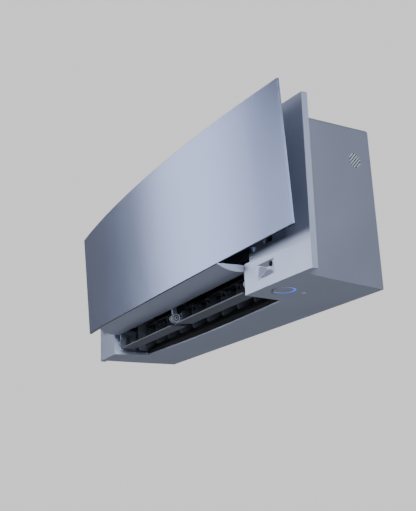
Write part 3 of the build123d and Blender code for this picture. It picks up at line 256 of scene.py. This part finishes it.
# ------------------------------------------------ looks of the CAD nodes
OWN_FINISH = {"centre_bracket": "bracket_grey", "side_grille": "blade_grey"}
EDGE_ANGLE = radians(32)    # faces that meet at more than this meet at an edge
EDGE_SEGMENTS = 2
WELD_REACH = 1e-6
EDGES = {       # words in nodes' names, and the rounding of such a node's edges in mm
    "front_casing": 1.0, "front_panel": 0.8, "main_flap": 0.5, "lower_flap": 0.4,
    "intake_grille": 0.3, "panel_drive": 0.5, "upper_arm": 0.5, "lower_arm": 0.5,
    "panel_bracket": 0.5, "mounting_plate": 0.2, "electrical": 0.3, "union": 0.5,
    "centre_bracket": 0.4, "lamp_bezel": 0.3, "vane_left": 0.2, "vane_right": 0.2,
    "casing_screws": 0.3,
}


def shade(piece):
    """Smooth shading that keeps the piece's real edges."""
    for polygon in piece.data.polygons:
        polygon.use_smooth = True
    with bpy.context.temp_override(object=piece, active_object=piece, selected_objects=[piece],
                                   selected_editable_objects=[piece]):
        bpy.ops.object.shade_smooth_by_angle(angle=EDGE_ANGLE)


def soften(piece, width):
    """Round a piece's edges a little, so that they catch the light as moulded edges do."""
    weld = piece.modifiers.new("weld", "WELD")
    weld.merge_threshold = WELD_REACH
    bevel = piece.modifiers.new("edges", "BEVEL")
    bevel.width = width
    bevel.segments = EDGE_SEGMENTS
    bevel.limit_method = "ANGLE"
    bevel.angle_limit = EDGE_ANGLE
    bevel.use_clamp_overlap = True
    level = piece.modifiers.new("flat_faces", "WEIGHTED_NORMAL")
    level.keep_sharp = True


def paint(piece, finish):
    """Give every slot of a CAD node's mesh the finish."""
    if not piece.material_slots:
        piece.data.materials.append(finish)
    for each in piece.material_slots:
        each.material = finish


slot_of = {part["node"]: part["material_slot"] for part in frame["record"]["subparts"]}
for name, node in frame["nodes"].items():
    paint(node, finishes[OWN_FINISH.get(name, slot_of[name])])
    shade(node)
    rounding = [width for words, width in EDGES.items() if words in name]
    if rounding:
        soften(node, rounding[0] * MM)

# ------------------------------------------------ helpers for new pieces
BLOCK_FACES = ((0, 1, 3, 2), (4, 6, 7, 5), (0, 4, 5, 1), (2, 3, 7, 6), (0, 2, 6, 4), (1, 5, 7, 3))


def piece_from(name, mesh, slot, body="root"):
    """A new piece in the row frame with one of the record's finishes, riding on a body."""
    data = bpy.data.meshes.new(name)
    mesh.to_mesh(data)
    mesh.free()
    piece = bpy.data.objects.new(name, data)
    bpy.context.scene.collection.objects.link(piece)
    data.materials.append(finishes[slot])
    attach(piece, body)
    return piece


def add_block(mesh, centre, half, turn=Matrix.Identity(3)):
    """A closed block: its centre, its half sizes and its turn."""
    corners = []
    for signs in product((-1, 1), repeat=3):
        offset = Vector([sign * size for sign, size in zip(signs, half)])
        corners.append(mesh.verts.new(centre + turn @ offset))
    for face in BLOCK_FACES:
        mesh.faces.new([corners[i] for i in face])


def add_loft(mesh, rings):
    """A closed skin over rings of points, flat at its two ends."""
    loops = [[mesh.verts.new(point) for point in ring] for ring in rings]
    mesh.faces.new(loops[0])
    for near, far in zip(loops, loops[1:]):
        for corner in range(len(near)):
            after = (corner + 1) % len(near)
            mesh.faces.new((near[corner], near[after], far[after], far[corner]))
    mesh.faces.new(loops[-1][::-1])


def add_ball(mesh, centre, radii, around, levels):
    """A closed ball with its poles above and below: its centre and its radius along each axis."""

    def new_point(tilt, turn):
        direction = (sin(tilt) * cos(turn), sin(tilt) * sin(turn), cos(tilt))
        offset = Vector([radius * share for radius, share in zip(radii, direction)])
        return mesh.verts.new(centre + offset)

    top = new_point(0, 0)
    foot = new_point(pi, 0)
    turns = [tau * side / around for side in range(around)]
    tilts = [pi * level / levels for level in range(1, levels)]
    rings = [[new_point(tilt, turn) for turn in turns] for tilt in tilts]
    for side in range(around):
        after = (side + 1) % around
        mesh.faces.new((top, rings[0][side], rings[0][after]))
        mesh.faces.new((foot, rings[-1][after], rings[-1][side]))
        for near, far in zip(rings, rings[1:]):
            mesh.faces.new((near[side], far[side], far[after], near[after]))


def face_outward(mesh):
    """Turn every face of closed forms outward."""
    bmesh.ops.recalc_face_normals(mesh, faces=mesh.faces)


# ------------------------------------------------ coils: thin fins on tubes
FIN_PITCH = 1.8 * MM
FIN_THICK = 0.14 * MM
COIL_HALF = 318 * MM
COIL_THICK = 22 * MM
COIL_LINES = {      # (y, z) in mm of the top and the foot of each slab's middle line
    "coil_front": ((-100, 265), (-149, 108)),
    "coil_rear": ((-75, 257), (-26, 193)),
}


def coil_fins(name, top, foot):
    """Fins side by side in place of a coil's plain slab."""
    along = (foot - top).normalized()
    sideways = Vector((1, 0, 0))
    turn = Matrix((sideways, along, sideways.cross(along))).transposed()
    half = (FIN_THICK / 2, (foot - top).length / 2, COIL_THICK / 2)
    fins = bmesh.new()
    for index in range(int(2 * COIL_HALF / FIN_PITCH) + 1):
        x = -COIL_HALF + FIN_THICK + index * FIN_PITCH
        add_block(fins, (top + foot) / 2 + Vector((x, 0, 0)), half, turn)
    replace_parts(piece_from(name + "_fins", fins, "fin_aluminium"), name)


for name, line in COIL_LINES.items():
    coil_fins(name, *[Vector((0, y * MM, z * MM - DATUM)) for y, z in line])

# ------------------------------------------------ air filters: the net in their frames
NET_PITCH = 3.0 * MM
NET_WIRE = 0.35 * MM
NET_INSET = 3 * MM          # from the frame's sides
NET_END_INSET = 1 * MM      # from its top and foot
NET_FROM_BACK = 1.2 * MM    # how far the net lies in front of the frame's back
FILTER_HIGH = 166 * MM      # height of a filter's frame, without its pull tab


def filter_net(name):
    """A net of upright and level wires in a filter's frame."""
    low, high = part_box(name)
    low_z = high[2] - FILTER_HIGH
    left = low[0] + NET_INSET
    right = high[0] - NET_INSET
    y = high[1] - NET_FROM_BACK
    net = bmesh.new()
    upright = (NET_WIRE / 2, NET_WIRE / 2, (high[2] - low_z) / 2 - NET_END_INSET)
    for index in range(1, int((right - left) / NET_PITCH)):
        add_block(net, Vector((left + index * NET_PITCH, y, (low_z + high[2]) / 2)), upright)
    level = ((right - left) / 2, NET_WIRE / 2, NET_WIRE / 2)
    for index in range(1, int((high[2] - low_z) / NET_PITCH)):
        add_block(net, Vector(((left + right) / 2, y, low_z + index * NET_PITCH)), level)
    piece_from(name + "_net", net, "filter_mesh")


filter_net("air_filter_left")
filter_net("air_filter_right")

# ------------------------------------------------ painted shadow: a dark strip under the front panel's lower edge, for the shaded gap there
PANEL_HALF = 498 * MM
PANEL_BOW = 26 * MM
PANEL_THICK = 4 * MM
EDGE_Z = 83 * MM - DATUM    # the panel's lower edge at its ends
EDGE_Y = -196 * MM
EDGE_DROOP = 10 * MM        # how much lower the edge is in the middle
PANEL_LEAN = -8 / 237       # how much y changes for each step up the panel
SHADOW_STRIP_STATIONS = 60
SHADOW_STRIP_SHARE = 0.999          # of the panel's width
SHADOW_STRIP_SETBACK = 0.9 * MM
SHADOW_STRIP_HIGH = 0.3 * MM
SHADOW_STRIP_SECTION = (            # (y, z) from the edge of the panel's face
    (SHADOW_STRIP_SETBACK, 0), (SHADOW_STRIP_SETBACK, -SHADOW_STRIP_HIGH), (PANEL_THICK, -SHADOW_STRIP_HIGH), (PANEL_THICK, 0),
)


def panel_shadow_strip():
    """A dark strip that follows the bow of the panel's lower edge: painted shadow of the shaded gap
    under the panel.
    """
    rings = []
    for index in range(SHADOW_STRIP_STATIONS + 1):
        x = PANEL_HALF * (2 * index / SHADOW_STRIP_STATIONS - 1) * SHADOW_STRIP_SHARE
        middle_share = 1 - (x / PANEL_HALF) ** 2
        edge_z = EDGE_Z - EDGE_DROOP * middle_share
        face_y = EDGE_Y + PANEL_LEAN * (edge_z - EDGE_Z) - PANEL_BOW * middle_share
        rings.append([(x, face_y + back, edge_z + up) for back, up in SHADOW_STRIP_SECTION])
    shadow_band = bmesh.new()
    add_loft(shadow_band, rings)
    face_outward(shadow_band)
    piece_from("panel_shadow_strip", shadow_band, "bearing_rubber", "panel")


panel_shadow_strip()

# ------------------------------------------------ dark strip on the slot's rear lip
LIP_Y = -118 * MM
LIP_HALF = 311 * MM
LIP_HIGH_Z = 10.4 * MM
WALL = 2.6 * MM
RISE = 22 * MM              # of the underside, at the casing's front corners
HALF_WIDTH = 499 * MM
UNDERSIDE_REACH = 240 * MM
STRIP_THICK = 0.35 * MM
STRIP_STATIONS = 40


def slot_lip_strip():
    """A thin strip on the lip's front, from the underside's wall up to the lip's top."""
    rings = []
    for index in range(STRIP_STATIONS + 1):
        x = LIP_HALF * (2 * index / STRIP_STATIONS - 1)
        underside = RISE * (x / HALF_WIDTH) ** 2 * -LIP_Y / UNDERSIDE_REACH
        low_z = underside + WALL - DATUM
        high_z = LIP_HIGH_Z - DATUM
        front_y = LIP_Y - STRIP_THICK
        section = ((LIP_Y, low_z), (front_y, low_z), (front_y, high_z), (LIP_Y, high_z))
        rings.append([(x, y, z) for y, z in section])
    lip_strip = bmesh.new()
    add_loft(lip_strip, rings)
    face_outward(lip_strip)
    piece_from("slot_lip_strip", lip_strip, "bearing_rubber")


slot_lip_strip()

# ------------------------------------------------ painted light: lighter grey sheets on the duct's two end plates, which lie in shade
DUCT_END = 324 * MM         # from the middle to an end plate's inner face
LIGHT_SHEET_THICK = 0.3 * MM
LIGHT_SHEET_OUTLINE = (           # (y, z) in mm
    (-136.5, 17), (-136.5, 92), (-70, 92), (-66, 62), (-90, 35), (-116, 14),
)


def duct_end_light_sheet(side, sign):
    """A thin lighter plate of the duct's outline on one end plate: painted light on the shaded end
    plate.
    """
    light_sheet = bmesh.new()
    add_loft(light_sheet, [[(sign * x, y * MM, z * MM - DATUM) for y, z in LIGHT_SHEET_OUTLINE]
                     for x in (DUCT_END, DUCT_END - LIGHT_SHEET_THICK)])
    face_outward(light_sheet)
    piece_from("duct_end_light_sheet_" + side, light_sheet, "flap_grey")


duct_end_light_sheet("left", -1)
duct_end_light_sheet("right", 1)

# ------------------------------------------------ painted shadow: a dark strip along the main flap's tip, for the shaded gap between flap and panel
TIP_PLACE = Vector((0, -235.7 * MM, 64.2 * MM - DATUM))
TIP_HALF_SIZE = (309 * MM, 0.3 * MM, 0.8 * MM)


def flap_tip_shadow():
    """A thin dark strip along the tip: painted shadow of the gap there."""
    edge = bmesh.new()
    add_block(edge, TIP_PLACE, TIP_HALF_SIZE)
    face_outward(edge)
    piece_from("flap_tip_shadow", edge, "bearing_rubber", "main_flap")


flap_tip_shadow()

# ------------------------------------------------ black lens over the presence sensor
LENS_PLACE = Vector((396.0 * MM, -182.0 * MM, 45.8 * MM - DATUM))
LENS_RADII = (5.0 * MM, 2.2 * MM, 4.1 * MM)
LENS_AROUND = 32
LENS_LEVELS = 16


def sensor_lens():
    """A flattened ball set in the recess's back."""
    lens = bmesh.new()
    add_ball(lens, LENS_PLACE, LENS_RADII, LENS_AROUND, LENS_LEVELS)
    for face in lens.faces:
        face.smooth = True
    piece_from("sensor_lens", lens, "sensor_black")


sensor_lens()

# ------------------------------------------------ pale slats across the side grille
SIDE_TAPER = 0.192          # how far the side comes in for each step towards the wall
GRILLE_PLACE = Vector((446.91 * MM, -36 * MM, 217 * MM - DATUM))
GRILLE_R = 12.6 * MM
SLATS = 6
SLAT_PITCH = 4.4 * MM
SLAT_HALF_WIDE = 1.15 * MM
SLAT_HALF_THICK = 0.18 * MM
SLAT_SINK = 1.1 * SLAT_HALF_THICK


def grille_slats():
    """Slanting slats in the grille's round face, each as long as the face is there."""
    outward = Vector((1, SIDE_TAPER, 0)).normalized()
    backward = Vector((-SIDE_TAPER, 1, 0)).normalized()
    along = (backward + Vector((0, 0, 1))).normalized()
    turn = Matrix((along, outward.cross(along), outward)).transposed()
    slats = bmesh.new()
    for index in range(SLATS):
        offset = (index - (SLATS - 1) / 2) * SLAT_PITCH
        half_long = (GRILLE_R ** 2 - offset ** 2) ** 0.5
        centre = GRILLE_PLACE + turn @ Vector((0, offset, -SLAT_SINK))
        add_block(slats, centre, (half_long, SLAT_HALF_WIDE, SLAT_HALF_THICK), turn)
    face_outward(slats)
    piece_from("side_grille_slats", slats, "arm_plastic")


grille_slats()

# ------------------------------------------------ floor
FLOOR_REACH = 30.0
FLOOR_Z = -2.6
FLOOR_COLOUR = (0.80, 0.80, 0.80)
FLOOR_ROUGHNESS = 0.8
FLOOR_SEEN = 0.55           # how much paler it is to the camera


def pale_floor():
    """A plain pale floor, far below the wall unit, that throws no light of its own on it."""
    data = bpy.data.meshes.new("floor")
    signs = ((-1, -1), (1, -1), (1, 1), (-1, 1))
    corners = [(x * FLOOR_REACH, y * FLOOR_REACH, FLOOR_Z) for x, y in signs]
    data.from_pydata(corners, [], [(0, 1, 2, 3)])
    floor = bpy.data.objects.new("floor", data)
    bpy.context.scene.collection.objects.link(floor)
    finish = finish_of("floor_paint", FLOOR_COLOUR, FLOOR_ROUGHNESS, mottle=0.01, mottle_scale=1)
    tree = finish.node_tree
    shader = tree.nodes["Principled BSDF"]
    shader.inputs["Emission Color"].default_value = (*WHITE, 1)
    ray = new_node(tree, "ShaderNodeLightPath")
    seen = new_node(tree, "ShaderNodeMath", {1: FLOOR_SEEN}, operation="MULTIPLY")
    tree.links.new(ray.outputs["Is Camera Ray"], seen.inputs[0])
    tree.links.new(seen.outputs["Value"], shader.inputs["Emission Strength"])
    data.materials.append(finish)


pale_floor()

# ------------------------------------------------ light and background
AROUND_COLOUR = (0.93, 0.95, 1.0)
AROUND_STRENGTH = 0.17
BEHIND_STRENGTH = 1.0
COOL_LIGHT = (0.86, 0.92, 1.0)
SOFTBOXES = {       # place, the point that it faces, size, power and colour
    "key_box": ((-3.3, -2.4, 0.9), (0, -0.2, 0), (1.3, 2.4), 27, COOL_LIGHT),
    "fill_box": ((-1.6, -3.2, 0.6), (0, -0.2, 0), (0.8, 1.2), 20, COOL_LIGHT),
    "right_box": ((3.45, -1.2, 0.9), (0.3, -0.1, 0), (1.8, 1.8), 104, COOL_LIGHT),
    "rim_box": ((3.4, 1.6, 1.0), (0.5, -0.2, 0), (0.8, 0.8), 7, COOL_LIGHT),
    "top_box": ((0.2, -1.0, 3.0), (0, -0.1, 0), (2.4, 1.6), 22, WHITE),
}


def background():
    """White behind the object for the camera, and dimmer light all round."""
    world = bpy.data.worlds.new("studio")
    bpy.context.scene.world = world
    world.use_nodes = True
    tree = world.node_tree
    tree.nodes.clear()
    link = tree.links.new
    ray = new_node(tree, "ShaderNodeLightPath")
    around = new_node(tree, "ShaderNodeBackground",
                      {"Color": (*AROUND_COLOUR, 1), "Strength": AROUND_STRENGTH})
    behind = new_node(tree, "ShaderNodeBackground",
                      {"Color": (*WHITE, 1), "Strength": BEHIND_STRENGTH})
    both = new_node(tree, "ShaderNodeMixShader")
    out = new_node(tree, "ShaderNodeOutputWorld")
    link(ray.outputs["Is Camera Ray"], both.inputs["Fac"])
    link(around.outputs["Background"], both.inputs[1])
    link(behind.outputs["Background"], both.inputs[2])
    link(both.outputs["Shader"], out.inputs["Surface"])


def softbox(name, place, aim, size, power, colour):
    """A rectangular studio light that faces a point."""
    data = bpy.data.lights.new(name, "AREA")
    data.shape = "RECTANGLE"
    data.size, data.size_y = size
    data.energy = power
    data.color = colour
    light = bpy.data.objects.new(name, data)
    bpy.context.scene.collection.objects.link(light)
    light.location = place
    light.rotation_euler = (Vector(aim) - Vector(place)).to_track_quat("-Z", "Y").to_euler()


background()
for name, settings in SOFTBOXES.items():
    softbox(name, *settings)
